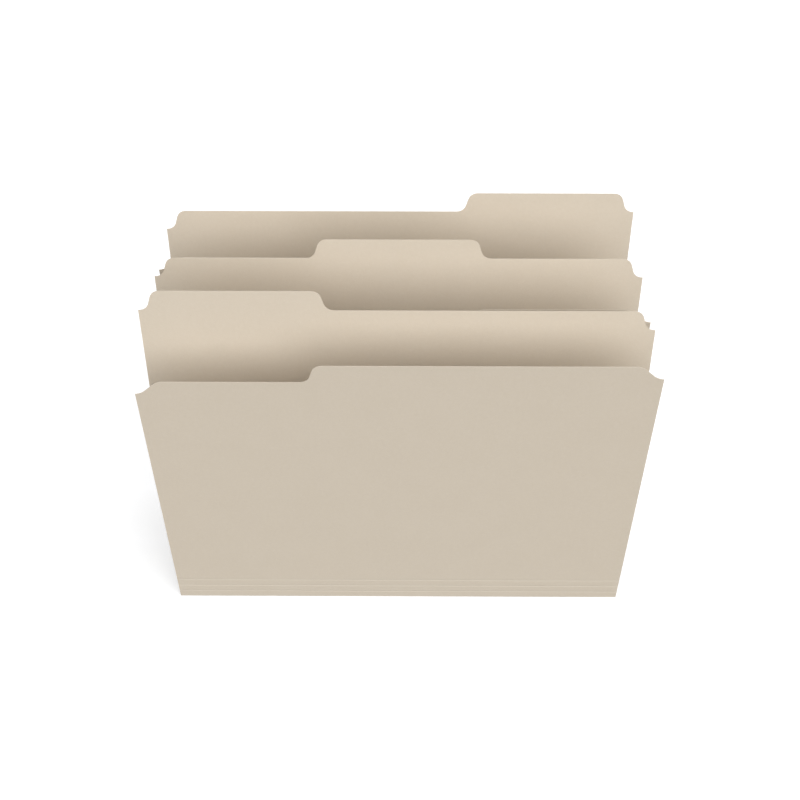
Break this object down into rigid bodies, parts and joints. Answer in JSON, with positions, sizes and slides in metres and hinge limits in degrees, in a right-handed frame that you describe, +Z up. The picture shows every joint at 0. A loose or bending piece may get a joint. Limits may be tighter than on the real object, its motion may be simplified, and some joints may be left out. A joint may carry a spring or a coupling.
{
  "type": "manila folder set",
  "caption": "Manila file folders standing open in a row, with staggered cut tabs; leaves open and shut on their bottom folds, and scored bottoms widen for thicker contents.",
  "frame": {"origin": "under the middle of the set, on the surface it stands on", "axes": "+X to the right along the folds, +Y to the back, +Z up"},
  "size_m": [0.2984, 0.1416, 0.2393],
  "materials": {
    "manila_card": "matte"
  },
  "bodies": {
    "front_tab_leaf": {"front_folder_tab_leaf": "manila_card", "front_folder_bottom_fold": "manila_card"},
    "front_score_strips": {"front_folder_score_strip_1": "manila_card", "front_folder_score_strip_2": "manila_card", "front_folder_score_strip_3": "manila_card"},
    "front_cover_leaf": {"front_folder_cover_leaf": "manila_card"},
    "middle_bottom_fold": {"middle_folder_bottom_fold": "manila_card"},
    "middle_tab_leaf": {"middle_folder_tab_leaf": "manila_card"},
    "middle_score_strips": {"middle_folder_score_strip_1": "manila_card", "middle_folder_score_strip_2": "manila_card", "middle_folder_score_strip_3": "manila_card"},
    "middle_cover_leaf": {"middle_folder_cover_leaf": "manila_card"},
    "rear_bottom_fold": {"rear_folder_bottom_fold": "manila_card"},
    "rear_tab_leaf": {"rear_folder_tab_leaf": "manila_card"},
    "rear_score_strips": {"rear_folder_score_strip_1": "manila_card", "rear_folder_score_strip_2": "manila_card", "rear_folder_score_strip_3": "manila_card"},
    "rear_cover_leaf": {"rear_folder_cover_leaf": "manila_card"}
  },
  "joints": [
    {"name": "front_lift", "type": "slide", "parent": "rear_bottom_fold", "child": "front_tab_leaf", "axis": [0, 0, 1], "range_m": [0, 0.26]},
    {"name": "front_open", "type": "hinge", "parent": "front_tab_leaf", "child": "front_score_strips", "pos_m": [0, -0.06193, 0.00043], "axis": [1, 0, 0], "range_deg": [-9.8, 87.7]},
    {"name": "front_score", "type": "hinge", "parent": "front_score_strips", "child": "front_cover_leaf", "pos_m": [0, -0.06267, 0.01903], "axis": [-1, 0, 0], "range_deg": [0, 10.5]},
    {"name": "middle_lift", "type": "slide", "parent": "rear_bottom_fold", "child": "middle_bottom_fold", "axis": [0, 0, 1], "range_m": [0, 0.26]},
    {"name": "middle_open", "type": "hinge", "parent": "middle_bottom_fold", "child": "middle_tab_leaf", "pos_m": [0, -0.01105, 0.00043], "axis": [-1, 0, 0], "range_deg": [-9.8, 2.5]},
    {"name": "middle_widen", "type": "hinge", "parent": "middle_bottom_fold", "child": "middle_score_strips", "pos_m": [0, -0.01163, 0.00043], "axis": [-1, 0, 0], "range_deg": [-38, 0]},
    {"name": "middle_score", "type": "hinge", "parent": "middle_score_strips", "child": "middle_cover_leaf", "pos_m": [0, -0.01237, 0.01903], "axis": [1, 0, 0], "range_deg": [-38.01, 0]},
    {"name": "rear_open", "type": "hinge", "parent": "rear_bottom_fold", "child": "rear_tab_leaf", "pos_m": [0, 0.03925, 0.00043], "axis": [-1, 0, 0], "range_deg": [-9.8, 82.5]},
    {"name": "rear_widen", "type": "hinge", "parent": "rear_bottom_fold", "child": "rear_score_strips", "pos_m": [0, 0.03867, 0.00043], "axis": [-1, 0, 0], "range_deg": [-38, 0]},
    {"name": "rear_score", "type": "hinge", "parent": "rear_score_strips", "child": "rear_cover_leaf", "pos_m": [0, 0.03793, 0.01903], "axis": [1, 0, 0], "range_deg": [-38.01, 0]}
  ],
  "couplings": [
    {"joint": "middle_score", "follows": "middle_widen", "ratio": 1},
    {"joint": "rear_score", "follows": "rear_widen", "ratio": 1}
  ]
}
